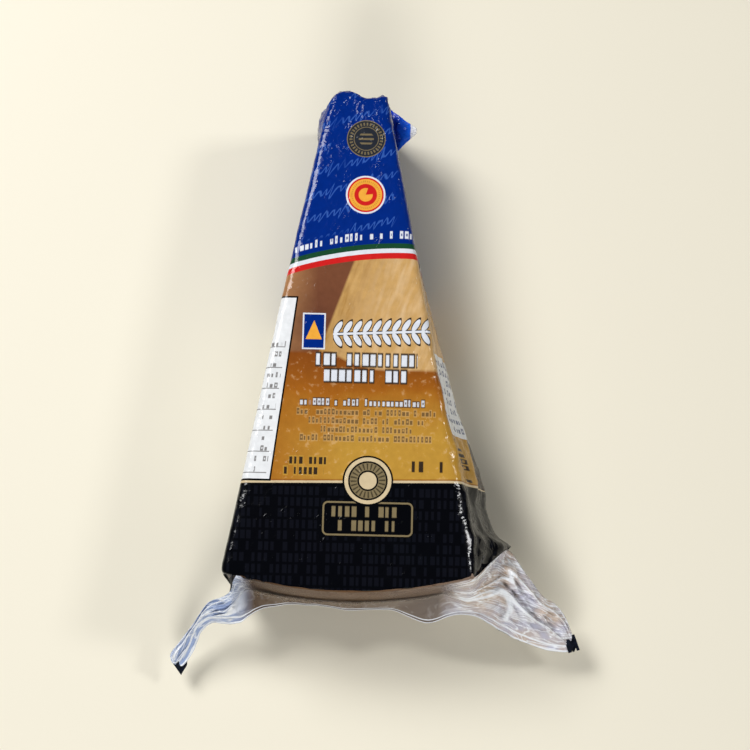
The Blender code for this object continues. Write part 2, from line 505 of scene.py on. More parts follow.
# low u, top v, width, rows, pitch, step, fill, evenness; then ink, outline and strength
FRONT_ROWS = (
    ((-12.5, 77.8, 35.5, 2.0, 5.7, 2.7, 0.7, 1.0), WHITE, DARK_TYPE, 1.0),
    ((-17.5, 61.5, 46.5, 1.0, 3.2, 1.5, 0.72, 0.0), WHITE, DARK_TYPE, 0.85),
    ((-18.5, 58.0, 48.5, 4.0, 3.05, 1.35, 0.66, 0.0), DARK_TYPE, CHEESE, 0.7),
    ((-24.0, 41.0, 17.0, 2.0, 3.6, 1.7, 0.7, 1.0), DARK_TYPE, GOLD, 1.0),
    ((21.5, 40.3, 12.0, 1.0, 5.0, 2.4, 0.76, 1.0), DARK_TYPE, GOLD, 1.0),
)
for layout, fill_ink, halo_ink, strength in FRONT_ROWS:
    colour = lay_rows(colour, block_rows(*layout), fill_ink, halo_ink, on_front, strength)
made = block_rows(-150.0, 30.6, 300.0, 12.0, 3.85, 2.1, 0.76, 1.0)
colour = lay_rows(colour, made, ink(14, 16, 24), BLACK, 1.0, 0.8)

# %% [markdown]
# The marks are plain ornaments: a dark medallion with a ticked ring, a round seal cut like a wheel of
# cheese with a slice taken out, a blue tag with a small wedge on it, an ear of wheat where a title would
# stand, and a ring and a plate in old gold near the foot.

# %% Medallion and seal
def polar(centre):
    """The angle round a centre on the flat design, in turns."""
    du = calc(tree, "SUBTRACT", u, centre[0])
    dv = calc(tree, "SUBTRACT", v, centre[1])
    return calc(tree, "DIVIDE", calc(tree, "ARCTAN2", dv, du), 2 * math.pi)


def ticks(centre, count, share=0.5):
    turn = calc(tree, "FRACT", calc(tree, "MULTIPLY_ADD", polar(centre), count, 100.0))
    return below(tree, turn, share, 0.2)


def lay_disc(under, colour_in, centre, radius, where=on_front):
    mask, _ = disc(radius, centre)
    return paint(tree, under, colour_in, both(tree, mask, where))


MEDALLION = (3.2, 155.6)
for radius, tone in ((6.9, OLD_GOLD), (6.6, CHARCOAL)):
    colour = lay_disc(colour, tone, MEDALLION, radius)
_, away = disc(1.0, MEDALLION)
tick_ring = both(tree, within(tree, away, 4.9, 6.0), ticks(MEDALLION, 30), on_front)
colour = paint(tree, colour, OLD_GOLD, both(tree, tick_ring, 0.8))
colour = paint(tree, colour, OLD_GOLD, both(tree, within(tree, away, 4.2, 4.5), on_front, 0.8))
bars = within(tree, calc(tree, "FRACT", calc(tree, "MULTIPLY", v, 0.6)), 0.1, 0.5, 0.15)
colour = paint(tree, colour, OLD_GOLD, both(tree, bars, below(tree, away, 2.7), on_front, 0.85))

SEAL = (3.5, 134.8)
for radius, tone in ((7.0, WHITE), (6.4, RED), (5.8, YELLOW)):
    colour = lay_disc(colour, tone, SEAL, radius)
_, away = disc(1.0, SEAL)
fine_ring = both(tree, within(tree, away, 4.6, 5.2), ticks(SEAL, 44), on_front, 0.35)
colour = paint(tree, colour, AMBER_DARK, fine_ring)
colour = lay_disc(colour, RED, SEAL, 4.0)
slice_gap = within(tree, polar(SEAL), 0.02, 0.2, 0.02)
wheel = both(tree, below(tree, away, 2.5), calc(tree, "SUBTRACT", 1.0, slice_gap), on_front)
colour = paint(tree, colour, YELLOW, wheel)

# %% Tag, wheat ear, ring and plate
TAG, TAG_RIM = (-17.3, -9.3, 78.4, 91.4), 0.5
colour = paint(tree, colour, WHITE, both(tree, box(*TAG), on_front))
tag_field = box(TAG[0] + TAG_RIM, TAG[1] - TAG_RIM, TAG[2] + TAG_RIM, TAG[3] - TAG_RIM)
colour = paint(tree, colour, BLUE, both(tree, tag_field, on_front))
tag_up = calc(tree, "SUBTRACT", v, 82.0)
tag_side = calc(tree, "ABSOLUTE", calc(tree, "SUBTRACT", u, -13.3))
tag_slope = calc(tree, "MULTIPLY_ADD", tag_side, 2.4, tag_up)
chunk = both(tree, above(tree, tag_up, 0.0), below(tree, tag_slope, 6.8))
colour = paint(tree, colour, YELLOW, both(tree, chunk, on_front))

WHEAT_START, WHEAT_END, WHEAT_STEP = -6.6, 27.4, 3.4
stem = calc(tree, "MULTIPLY_ADD", u, -0.05, calc(tree, "SUBTRACT", v, 84.3))
grain_place = calc(tree, "DIVIDE", calc(tree, "SUBTRACT", u, WHEAT_START), WHEAT_STEP)
across = calc(tree, "MULTIPLY", calc(tree, "SUBTRACT", calc(tree, "FRACT", grain_place), 0.5), WHEAT_STEP)
up = calc(tree, "SUBTRACT", calc(tree, "ABSOLUTE", stem), 2.3)
COS, SIN = math.cos(math.radians(58)), math.sin(math.radians(58))
long_way = calc(tree, "MULTIPLY_ADD", up, SIN, calc(tree, "MULTIPLY", across, COS))
short_way = calc(tree, "MULTIPLY_ADD", across, -SIN, calc(tree, "MULTIPLY", up, COS))
spread = calc(tree, "SQRT", calc(tree, "ADD",
              calc(tree, "POWER", calc(tree, "DIVIDE", long_way, 2.7), 2.0),
              calc(tree, "POWER", calc(tree, "DIVIDE", short_way, 1.05), 2.0)))
on_wheat = both(tree, within(tree, u, WHEAT_START, WHEAT_END), on_front)
colour = paint(tree, colour, DARK_TYPE, both(tree, below(tree, spread, 1.22, 0.1), on_wheat))
colour = paint(tree, colour, DARK_TYPE, both(tree, below(tree, calc(tree, "ABSOLUTE", stem), 0.75), on_wheat))
colour = paint(tree, colour, WHITE, both(tree, below(tree, spread, 0.9, 0.1), on_wheat))
colour = paint(tree, colour, WHITE, both(tree, below(tree, calc(tree, "ABSOLUTE", stem), 0.4), on_wheat))

plate_u = calc(tree, "SUBTRACT", calc(tree, "ABSOLUTE", calc(tree, "SUBTRACT", u, 7.0)), 15.6 - 2.0)
plate_v = calc(tree, "SUBTRACT", calc(tree, "ABSOLUTE", calc(tree, "SUBTRACT", v, 19.4)), 6.0 - 2.0)
plate = calc(tree, "SQRT", calc(tree, "ADD",
             calc(tree, "POWER", calc(tree, "MAXIMUM", plate_u, 0.0), 2.0),
             calc(tree, "POWER", calc(tree, "MAXIMUM", plate_v, 0.0), 2.0)))
colour = paint(tree, colour, BLACK, both(tree, below(tree, plate, 2.3), on_front))
colour = paint(tree, colour, OLD_GOLD, both(tree, within(tree, plate, 1.3, 1.9), on_front))
made = block_rows(-5.6, 24.2, 25.2, 2.0, 4.8, 2.3, 0.74, 1.0)
colour = paint(tree, colour, OLD_GOLD, both(tree, made["Blocks"], on_front))

RING = (6.8, 32.6)
for radius, tone in ((8.7, BLACK), (8.1, CREAM), (6.8, BLACK), (6.2, OLD_GOLD), (3.6, BLACK), (3.0, CREAM)):
    colour = lay_disc(colour, tone, RING, radius)
_, away = disc(1.0, RING)
ring_ticks = both(tree, within(tree, away, 3.8, 6.0), ticks(RING, 24, 0.4), on_front, 0.7)
colour = paint(tree, colour, BLACK, ring_ticks)
print("marks laid,", len(tree.nodes), "nodes so far")

# %% [markdown]
# The side walls carry plain panels: a ruled white one that wraps over the left edge, and on the right a
# smaller white one above a gold strip. On the underside a white panel fills the middle.

# %% Panels
leaning_u = calc(tree, "MULTIPLY_ADD", calc(tree, "SUBTRACT", v, 97.0), -0.115, u)
panel = both(tree, within(tree, leaning_u, -72.0, -19.1), within(tree, v, 31.8, 97.3), left)
inner = both(tree, within(tree, leaning_u, -71.5, -19.7), within(tree, v, 32.5, 96.7), left)
colour = paint(tree, colour, BLACK, panel)
rule_step = calc(tree, "FRACT", calc(tree, "MULTIPLY_ADD", v, 1 / 7.4, 0.35))
ruled = both(tree, within(tree, rule_step, 0.0, 0.05, 0.03), below(tree, v, 83.0), inner)
ruled = both(tree, ruled, below(tree, leaning_u, -21.0))
paper = ink(226, 228, 230)
colour = paint(tree, colour, paper, inner)
colour = paint(tree, colour, DARK_TYPE, both(tree, ruled, 0.75))
made = block_rows(-26.0, 82.0, 5.0, 13.0, 3.7, 1.5, 0.5, along=leaning_u)
colour = paint(tree, colour, DARK_TYPE, both(tree, made["Blocks"], inner, 0.75))
made = block_rows(-68.0, 92.0, 38.0, 16.0, 3.7, 1.5, 0.6, along=leaning_u)
colour = paint(tree, colour, DARK_TYPE, both(tree, made["Blocks"], inner, 0.8))

wall = both(tree, right, above(tree, past_edge, 1.4))
side_panel = both(tree, wall, within(tree, past_edge, 2.4, 40.0), within(tree, v, 50.5, 79.0))
colour = paint(tree, colour, paper, side_panel)
made = block_rows(4.0, 78.0, 34.0, 8.0, 3.3, 1.4, 0.62, along=past_edge)
colour = paint(tree, colour, ink(70, 84, 120), both(tree, made["Blocks"], side_panel, 0.85))
strip = both(tree, wall, within(tree, v, 33.2, 50.5))
colour = paint(tree, colour, ink(52, 38, 28), both(tree, strip, above(tree, past_edge, 15.0)))
made = block_rows(34.0, 11.0, 15.0, 1.0, 4.4, 2.2, 0.8, along=v, down=past_edge)
colour = paint(tree, colour, DARK_TYPE, both(tree, made["Blocks"], strip))

inward = calc(tree, "SUBTRACT", from_middle, half)
back = both(tree, under_mask, within(tree, v, 38.0, 104.0), below(tree, inward, -7.0))
colour = paint(tree, colour, paper, back)
made = block_rows(-60.0, 102.0, 120.0, 17.0, 3.8, 1.6, 0.55, along=x)
colour = paint(tree, colour, DARK_TYPE, both(tree, made["Blocks"], back, 0.8))
print("print done,", len(tree.nodes), "nodes")

# %% [markdown]
# Ink is never perfectly even, so a faint cloud lightens and darkens it. The film itself is glossy: the
# roughness wanders a little, and the wrinkle group raises fine crests, most of them at the pinched apex.

# %% Film finish
shade = calc(tree, "MULTIPLY_ADD", fine, 0.28, 0.86)
tinted = tree.nodes.new("ShaderNodeVectorMath")
tinted.operation = "SCALE"
plug(tree, colour, tinted.inputs[0])
plug(tree, shade, tinted.inputs["Scale"])
tree.links.new(tinted.outputs[0], film_shader.inputs["Base Color"])
plug(tree, calc(tree, "MULTIPLY_ADD", broad, 0.16, 0.06), film_shader.inputs["Roughness"])
pinch = above(tree, y, 168.0, 60.0)
off_front = calc(tree, "SUBTRACT", 0.18, calc(tree, "MULTIPLY", on_front, 0.18))
gather = calc(tree, "MULTIPLY_ADD", pinch, 0.35, off_front)
height = use_group(tree, wrinkles, Place=ruler, Density=0.16, Gather=gather)["Height"]
height = calc(tree, "MULTIPLY_ADD", fine, 0.12, height)
crinkle_gather = calc(tree, "MULTIPLY_ADD", pinch, 0.75, -0.35)
crinkles = use_group(tree, wrinkles, Place=ruler, Density=0.5, Gather=crinkle_gather)["Height"]
height = calc(tree, "MULTIPLY_ADD", crinkles, 1.0, height)
add_bump(tree, film_shader, height, 0.35 * MM, 0.6)
print("printed film:", len(tree.nodes), "nodes")

# %% [markdown]
# ## The rind and the clear film
#
# Through the clear end we see the rind: a dry brown skin with fine pits. The film over it is the same
# plastic without ink. Where it lies tight it only veils what is under it, and where it is crumpled its
# many layers scatter light and look milky, so the mesh carries four numbers to every point: how sharp a
# fold is there, how milky the film is, how far the weld's edge is, and how far along the weld it lies.

# %% Rind finish
rind_finish, tree, rind_shader = new_material("dry rind", 0.5)
ruler, x, y, z = ruler_coordinates(tree)
mottle = clouds(tree, ruler, 0.09, 4.0)
pits = clouds(tree, ruler, 0.9, 3.0)
colour = paint(tree, ink(86, 60, 38), ink(108, 80, 54), above(tree, mottle, 0.5, 0.5))
# Painted light and shade: the rind is painted lighter on the right and darker on the left.
colour = paint(tree, colour, ink(136, 116, 102), both(tree, above(tree, x, 28.0, 40.0), 0.8))
colour = paint(tree, colour, ink(52, 36, 24), both(tree, below(tree, x, -18.0, 40.0), 0.7))
colour = paint(tree, colour, ink(66, 46, 32), both(tree, above(tree, pits, 0.62, 0.1), 0.5))
plug(tree, colour, rind_shader.inputs["Base Color"])
add_bump(tree, rind_shader, pits, 0.25 * MM, 0.5)
print("rind finish:", len(tree.nodes), "nodes")

# %% Clear film finish
clear_film, tree, clear_shader = new_material("clear film", 0.1)
ruler, x, y, z = ruler_coordinates(tree)


def mesh_number(tree, name):
    node = tree.nodes.new("ShaderNodeAttribute")
    node.attribute_name = name
    return node.outputs["Fac"]


fold = mesh_number(tree, "fold")
milk = mesh_number(tree, "milk")
weld = mesh_number(tree, "weld")
along = mesh_number(tree, "along")
from_middle = calc(tree, "ABSOLUTE", x)
ear_share = above(tree, from_middle, 36.0, 8.0)
bend = calc(tree, "MULTIPLY", clouds(tree, ruler, 0.06, 1.0), 5.0)
down_ear = calc(tree, "MULTIPLY_ADD", along, 0.07, bend)
lengthwise = combine(tree, down_ear, calc(tree, "MULTIPLY_ADD", weld, 0.7, bend))
streaks = clouds(tree, lengthwise, 1.0, 2.0, "RIDGED_MULTIFRACTAL")
crossing = clouds(tree, ruler, 0.17, 2.0, "RIDGED_MULTIFRACTAL")
streak = both(tree, above(tree, streaks, 1.22, 0.7), ear_share)
cross = both(tree, above(tree, crossing, 1.42, 0.3), calc(tree, "MULTIPLY_ADD", ear_share, 0.15, 0.1))
warm = above(tree, clouds(tree, ruler, 0.12, 2.0), 0.48, 0.3)
weld_lines = calc(tree, "MAXIMUM", within(tree, weld, 0.1, 0.7, 0.2), within(tree, weld, 2.0, 2.6, 0.2))
sharp_fold = both(tree, above(tree, fold, 0.62, 0.3), ear_share)
milk_and_painted_glint = calc(tree, "MAXIMUM", calc(tree, "MAXIMUM", streak, cross), sharp_fold)
milk_and_painted_glint = calc(tree, "MAXIMUM", milk_and_painted_glint, weld_lines)
colour = paint(tree, ink(220, 220, 238), ink(230, 208, 188), warm)
colour = paint(tree, colour, ink(182, 202, 242), below(tree, x, -30.0, 12.0))
# Over the rind the film is painted lighter on the right: painted light, as on the rind under it.
over_rind_painted_light = paint(tree, ink(116, 98, 82), ink(144, 132, 122), above(tree, x, 16.0, 30.0))
colour = paint(tree, over_rind_painted_light, colour, ear_share)
# Near-white over the streaks, sharp folds and weld lines: partly the milk of crumpled film, partly painted
# highlight for its glints.
colour = paint(tree, colour, ink(248, 251, 255), milk_and_painted_glint)
dense = clamp(tree, calc(tree, "MULTIPLY_ADD", milk_and_painted_glint, 0.5, milk))
plug(tree, colour, clear_shader.inputs["Base Color"])
plug(tree, dense, clear_shader.inputs["Alpha"])
plug(tree, calc(tree, "MULTIPLY_ADD", warm, 0.08, 0.06), clear_shader.inputs["Roughness"])
height = use_group(tree, wrinkles, Place=ruler, Density=0.3, Gather=0.3)["Height"]
height = calc(tree, "ADD", height, calc(tree, "MULTIPLY", calc(tree, "ADD", streaks, crossing), ear_share))
add_bump(tree, clear_shader, height, 0.35 * MM, 0.8)
print("clear film finish:", len(tree.nodes), "nodes")

# %% [markdown]
# ## The cheese
#
# The body is a cube cut into a grid and pushed to the wedge's shape: wide at the rind, narrow at the
# apex, with the rind bulging in both directions. It stays a little inside the film on every side.

# %% Making pieces
TO_SCENE = Matrix.Translation((MIDDLE, CHORD, 0)) @ Matrix.Scale(MM, 4)


def make_piece(name, bm, finish, replaced=(), wall=0.0):
    """Turns a bmesh in the ruler's millimetres into a finished piece that rides on the body."""
    bmesh.ops.recalc_face_normals(bm, faces=bm.faces)
    bmesh.ops.transform(bm, matrix=TO_SCENE, verts=bm.verts)
    mesh = bpy.data.meshes.new(name)
    bm.to_mesh(mesh)
    bm.free()
    mesh.materials.append(finish)
    mesh.shade_smooth()
    piece = bpy.data.objects.new(name, mesh)
    scene.collection.objects.link(piece)
    if wall:
        solid = piece.modifiers.new("film thickness", "SOLIDIFY")
        solid.thickness = wall * MM
        solid.offset = -1.0
    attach(piece, "root")
    if replaced:
        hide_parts(*replaced)
    print(f"{name}: {len(mesh.polygons)} faces")
    return piece


# %% The cheese body
TOP_GAP, SIDE_GAP, RIND_GAP, CHEESE_EDGE = 0.8, 0.5, 0.3, 2.5
APEX_GAP, GROOVE_ROOM = 4.5, 2.2
CHEESE_CUTS = (30, 16, 14)

bm = bmesh.new()
bmesh.ops.create_cube(bm, size=2)
for axis, cuts in enumerate(CHEESE_CUTS):
    normal = [float(k == axis) for k in range(3)]
    for i in range(1, cuts + 1):
        place = [n * (2 * i / (cuts + 1) - 1) for n in normal]
        geometry = bm.verts[:] + bm.edges[:] + bm.faces[:]
        bmesh.ops.bisect_plane(bm, geom=geometry, plane_co=place, plane_no=normal)


def cube_edge(edge):
    """True for an edge that lies on one of the cube's own twelve edges."""
    a, b = (vert.co for vert in edge.verts)
    return sum(abs(abs(a[k]) - 1) < 1e-5 and abs(a[k] - b[k]) < 1e-5 for k in range(3)) == 2


outline = [edge for edge in bm.edges if cube_edge(edge)]
for vert in bm.verts:
    across, along, up = vert.co
    z = mix(TOP_GAP, THICKNESS - TOP_GAP, (up + 1) / 2)
    rind_y = rind_wall(across * RIND_HALF, z) + RIND_GAP
    y = mix(rind_y, FACE_LENGTH - APEX_GAP, (along + 1) / 2)
    room = GROOVE_ROOM if across < 0 else mix(SIDE_GAP, GROOVE_ROOM, blend(y, 0, 10))
    x = across * (half_width(max(y, 0)) - room)
    vert.co = (x + narrower(x, y), y, z)
bmesh.ops.bevel(bm, geom=outline, offset=CHEESE_EDGE, offset_type="OFFSET", segments=4, profile=0.5,
                affect="EDGES", clamp_overlap=True, material=-1)
for vert in bm.verts:
    vert.co += Vector([0.12 * noise.noise(vert.co / 6 + Vector((apart, 0, 0))) for apart in (0, 31.4, 62.8)])
make_piece("cheese", bm, rind_finish)

# %% [markdown]
# ## The printed film
#
# The film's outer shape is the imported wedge, so a copy of that solid is remeshed into small even quads.
# Then the film's own behaviour is added: soft lumps where cheese shows through, long sharp folds in the
# slack right wall, a gathered apex. At last the part beyond the print's edge is cut away and the skin gets
# its thickness.

# %% The shape of the slack
FILM_VOXEL = 1.1
FLARE = 3.4
APEX_BUMP = 2.4


def print_edge(x):
    """Where the print ends: along the rind's rim in front, and slanting back over the right wall."""
    if x > RIND_HALF:
        return 0.6 + 0.93 * (x - RIND_HALF) + 1.3 * blend(x, 48.0, 48.8)
    return 0.6 - RIND_SAG * (1 - min(abs(x) / RIND_HALF, 1) ** 2)


def crease(point):
    """A sharp crest, 0 to 1, along the lines where a noise passes through zero."""
    return max(0.0, 1 - 3.0 * abs(noise.noise(point)))


def film_shift(place, normal):
    """How a point of the smooth film moves, in millimetres."""
    x, y, z = place
    wall = 1 - blend(abs(z - THICKNESS / 2), 14, 22)
    shift = normal * (0.20 * noise.noise(place / 14) + 0.09 * noise.noise(place / 5))
    if x > 0:
        slack = blend(y, 140, 60)
        folds = crease(Vector((z * 0.10 + 0.02 * y, y * 0.022, 3.1))) * 1.0
        folds += crease(Vector((z * 0.22 - 0.05 * y, y * 0.06, 7.7))) * 0.6
        folds += crease(Vector((z * 0.09 + 0.09 * y, y * 0.05, 12.4))) * 0.5 * blend(y, 60, 30)
        side = blend(x, half_width(y) - 1.5, half_width(y) + 1.0)
        shift.x += side * slack * (folds - 0.9 + 1.3 * blend(y, 62, 40))
        middle = blend(abs(z - 23), 22, 4)
        flare = FLARE * blend(y, 17.5, 12.5) - 2.3 * blend(y, 14, 20) * blend(y, 34, 26)
        shift.x += side * middle * flare
        groove = blend(z, 32, 38) * blend(z, 44.5, 41) * blend(y, 125, 50)
        shift.x -= side * 1.1 * groove
    else:
        side = blend(-x, half_width(y) - 1.0, half_width(y) + 0.5)
        shift.x += side * wall * (0.5 * noise.noise(place / 18) + 0.6 * blend(y, 120, 70))
        shift.x += narrower(x, y)
        bump = blend(y, 157, 163) * blend(y, 173, 169) * blend(z, 16, 24) * blend(z, 45, 38)
        shift.x -= side * APEX_BUMP * bump
    gather = blend(y, 152, 170)
    if gather > 0:
        shift += normal * gather * (0.45 * crease(place / 4.5) + 0.3 * crease(place / 2.2) - 0.25)
        end = blend(y, 167, 172)
        shift.y += end * (0.9 * blend(x, 2, -4) - 1.3 * blend(x, -2, 2) * blend(x, 9, 6))
        shift.y -= end * 3.0 * blend(x, -6.5, -11)
    return shift


# %% The film skin
bm = bmesh.new()
bm.from_mesh(wedge.data)
bmesh.ops.remove_doubles(bm, verts=bm.verts, dist=0.001 * MM)
rough_mesh = bpy.data.meshes.new("film former")
bm.to_mesh(rough_mesh)
bm.free()
former = bpy.data.objects.new("film former", rough_mesh)
scene.collection.objects.link(former)
remesh = former.modifiers.new("even quads", "REMESH")
remesh.mode = "VOXEL"
remesh.voxel_size = FILM_VOXEL * MM
bm = bmesh.new()
bm.from_object(former, bpy.context.evaluated_depsgraph_get())
bpy.data.objects.remove(former)
bmesh.ops.transform(bm, matrix=TO_SCENE.inverted(), verts=bm.verts)
for _ in range(5):
    bmesh.ops.smooth_vert(bm, verts=bm.verts, factor=0.5, use_axis_x=True, use_axis_y=True, use_axis_z=True)
bm.normal_update()
moves = [film_shift(vert.co, vert.normal) for vert in bm.verts]
for vert, move in zip(bm.verts, moves):
    vert.co += move
    vert.co.z = min(max(vert.co.z, 0.02), THICKNESS)
    vert.co.y = min(vert.co.y, FACE_LENGTH + 1.2)

for vert in bm.verts:
    vert.co.y -= print_edge(vert.co.x)
geometry = bm.verts[:] + bm.edges[:] + bm.faces[:]
bmesh.ops.bisect_plane(bm, geom=geometry, dist=0.01, plane_co=(0, 0, 0), plane_no=(0, 1, 0), clear_inner=True)
for vert in bm.verts:
    vert.co.y += print_edge(vert.co.x)
make_piece("printed_film", bm, film_print, ["wrapped_wedge"], wall=0.14)

# %% [markdown]
# ## The clear end
#
# The bag's open end is pressed flat and welded across the middle of the rind, and everything that sticks
# out beyond the wedge becomes an ear. So the whole end is one folded sheet: from the weld it runs up to
# the edge of the print in front, or in the ears to a fold, and its twin runs below. We write down stations
# along the weld, draw smooth curves through them and stretch two grids between the weld and the far edge.

# %% Stations along the weld
# weld x, y, z; far edge x, y, z; height of the middle at the far edge; how much the film balloons
LEFT_EAR = (
    (-59.4, -29.7, 8.5, -61.5, -28.6, 9.0, 9.0, 0.6),
    (-57.6, -29.5, 8.8, -62.3, -26.4, 9.4, 9.4, 1.6),
    (-55.8, -27.2, 9.3, -61.6, -24.4, 10.2, 10.2, 2.2),
    (-53.8, -24.0, 10.5, -59.0, -21.2, 11.6, 11.6, 2.8),
    (-52.4, -20.5, 12.0, -56.4, -18.0, 13.6, 13.6, 2.8),
    (-50.9, -17.5, 14.0, -53.8, -14.8, 15.6, 15.6, 2.8),
    (-47.3, -14.8, 16.5, -51.0, -10.6, 18.2, 18.2, 3.4),
    (-43.6, -14.9, 18.5, -48.4, -7.8, 20.6, 20.6, 4.2),
    (-39.9, -15.2, 20.0, -44.0, -6.2, 22.4, 22.4, 4.6),
    (-36.8, -14.7, 21.0, -40.2, -4.9, 29.0, 23.0, 3.2),
    (-33.6, -12.5, 22.0, -38.0, -1.6, 43.6, 23.0, 1.0),
)
# weld x and y, and the x at which the same sheet meets the print
ALONG_RIND = (
    (-29.4, -10.1, -34.0), (-26.0, -9.2, -30.0), (-20.4, -8.3, -23.5), (-9.9, -8.5, -12.0), (0.7, -9.6, 0.0),
    (8.5, -9.5, 9.0), (16.1, -9.4, 17.0), (19.6, -10.6, 21.0), (23.2, -12.0, 25.0), (27.7, -13.6, 29.5),
    (31.0, -13.3, 33.0), (34.7, -11.7, 36.6), (38.0, -10.6, 40.5),
)
RIGHT_EAR = (
    (41.6, -10.4, 22.8, 44.0, 0.6, 43.6, 23.0, 0.8),
    (45.6, -10.9, 22.3, 46.6, 3.0, 39.6, 23.0, 1.4),
    (49.4, -12.8, 21.0, 50.4, 7.4, 33.0, 23.0, 2.4),
    (54.2, -15.4, 19.0, 56.2, 12.8, 23.6, 23.0, 4.6),
    (59.6, -17.9, 17.0, 63.2, 4.5, 21.5, 21.5, 5.0),
    (65.0, -19.7, 15.0, 69.0, -2.6, 18.8, 18.8, 4.4),
    (70.5, -21.2, 13.0, 73.8, -5.3, 16.4, 16.4, 3.6),
    (74.6, -21.7, 12.0, 77.5, -9.4, 14.5, 14.5, 2.6),
    (77.4, -21.7, 11.2, 79.6, -14.0, 12.8, 12.8, 1.5),
    (79.0, -21.5, 10.8, 80.3, -15.9, 12.2, 12.2, 0.7),
)
RIM_HEIGHT, WELD_HEIGHT, TUCK = 44.5, 23.0, 0.6
rind_stations = [(x, y, WELD_HEIGHT, rim, print_edge(rim) + TUCK, RIM_HEIGHT, WELD_HEIGHT, 0.4)
                 for x, y, rim in ALONG_RIND]
stations = [*LEFT_EAR, *rind_stations, *RIGHT_EAR]
knots = [0.0]
for before, after in zip(stations, stations[1:]):
    knots.append(knots[-1] + math.dist(before[:3], after[:3]))
WELD_LENGTH = knots[-1]
print(f"the weld is {WELD_LENGTH:.0f} mm long, tip to tip")


def at_weld(place):
    """The eight numbers of a station at any distance along the weld, on smooth curves through all."""
    i = min(max(sum(knot <= place for knot in knots) - 1, 0), len(knots) - 2)
    span = knots[i + 1] - knots[i]
    t = (place - knots[i]) / span
    found = []
    four = (stations[max(i - 1, 0)], stations[i], stations[i + 1], stations[min(i + 2, len(knots) - 1)])
    for p, q, r, s in zip(*four):
        back_span = knots[i] - knots[i - 1] if i else span
        next_span = knots[i + 2] - knots[i + 1] if i + 2 < len(knots) else span
        leave = (r - p) / (span + back_span) * span
        reach = (s - q) / (span + next_span) * span
        found.append((2 * t**3 - 3 * t**2 + 1) * q + (t**3 - 2 * t**2 + t) * leave
                     + (3 * t**2 - 2 * t**3) * r + (t**3 - t**2) * reach)
    return found


def rind_skin(x, z):
    """Where film lies when it is tight on the rind, round its edges too."""
    depth = min(max(min(z, THICKNESS - z) - TOP_GAP, 0.0), CHEESE_EDGE)
    corner = CHEESE_EDGE - math.sqrt(CHEESE_EDGE**2 - (CHEESE_EDGE - depth) ** 2)
    depth = min(max(RIND_HALF - SIDE_GAP - abs(x), 0.0), CHEESE_EDGE)
    corner += CHEESE_EDGE - math.sqrt(CHEESE_EDGE**2 - (CHEESE_EDGE - depth) ** 2)
    return rind_wall(x, z) + corner - 0.3


# %% Stretching the two sheets
WELD_WIDTH, HALF_GAP = 2.4, 0.13
SHEET_GRID = (340, 46)
END_TAPER = 3.0


def sheet_place(share, t, side):
    """A point of the upper (side 1) or lower (side -1) sheet, with its fold, milk and weld numbers."""
    place = share * WELD_LENGTH
    ox, oy, oz, ux, uy, uz, middle, puff = at_weld(place)
    width = math.dist((ox, oy, oz), (ux, uy, uz))
    weld_share = min(WELD_WIDTH / width, 0.4)
    q = max((t - weld_share) / (1 - weld_share), 0.0)
    x, y, centre = mix(ox, ux, t), mix(oy, uy, t), mix(oz, middle, t)
    taper = min(place, WELD_LENGTH - place, END_TAPER) / END_TAPER
    ear = blend(x, 30, 42) if x > 0 else blend(-x, 29, 38)

    warp = noise.noise(Vector((place * 0.05, t * 2.2, side * 5)))
    long_fold = crease(Vector((place * 0.045 + warp, t * 5.2 + 0.7 * warp, side * 9.3)))
    short_fold = crease(Vector((place * 0.15 + warp, t * 8.5, side * 4.1 + 20)))
    cross_fold = crease(Vector((place * 0.16, t * 1.6, side * 2.0 + 40)))
    fold = max(long_fold * 0.9, short_fold * 0.65) * ear + cross_fold * 0.35 * (1 - ear)
    open_end = max(uz - middle, 0.0)
    closes = min(open_end / 12, 1.0)
    puffing = (4 * q * (1 - q)) ** 0.6 if 0 < q < 1 else 0.0
    height = puff * puffing * (0.45 + 0.65 * long_fold + 0.3 * short_fold)
    height = max(height, HALF_GAP if t > 0 else 0.0) * (1 if t < 1 or closes > 0 else 0) * taper
    z = centre + side * (open_end * q + height)
    tight = (1 - blend(abs(x), 33, 43)) * blend(q, 0.0, 0.22)
    y = mix(y, rind_skin(x, z) - 0.15 * cross_fold, tight)
    if abs(x) < RIND_HALF - SIDE_GAP:
        y = min(y, rind_skin(x, z))
    wave = 0.8 * noise.noise(Vector((place * 0.09, 11.0, 0.0)))
    wave += 0.4 * noise.noise(Vector((place * 0.3, 5.0, 0.0)))
    loose = blend(t, 0.5, 0.0)
    z += wave * 1.3 * loose * taper
    y += wave * 0.35 * loose * taper
    veil = mix(0.03, 0.10, blend(x, 5, 35))
    milk = mix(mix(veil, 0.8, blend(q, 0.42, 0.1)), 0.6, ear)
    return (x, y, z), fold * blend(q, 0.0, 0.08), milk, t * width, place


bm = bmesh.new()
fold_layer = bm.verts.layers.float.new("fold")
milk_layer = bm.verts.layers.float.new("milk")
weld_layer = bm.verts.layers.float.new("weld")
along_layer = bm.verts.layers.float.new("along")
for side in (1, -1):
    sheet = bmesh.ops.create_grid(bm, x_segments=SHEET_GRID[0], y_segments=SHEET_GRID[1], size=1)["verts"]
    for vert in sheet:
        share, t = (vert.co.x + 1) / 2, (vert.co.y + 1) / 2
        vert.co, *numbers = sheet_place(share, t, side)
        for layer, number in zip((fold_layer, milk_layer, weld_layer, along_layer), numbers):
            vert[layer] = number
bmesh.ops.remove_doubles(bm, verts=bm.verts, dist=0.03)
make_piece("clear_end", bm, clear_film, ["clear_end_film"], wall=0.1)

# %% [markdown]
# ## Ear tips and the apex flap
#
# Where the bag was cut, a scrap of the next bag's black print stays at each end of the weld. Beside the
# apex a corner of the bag's other seal is folded out: two layers of printed film, with a bare white tip.

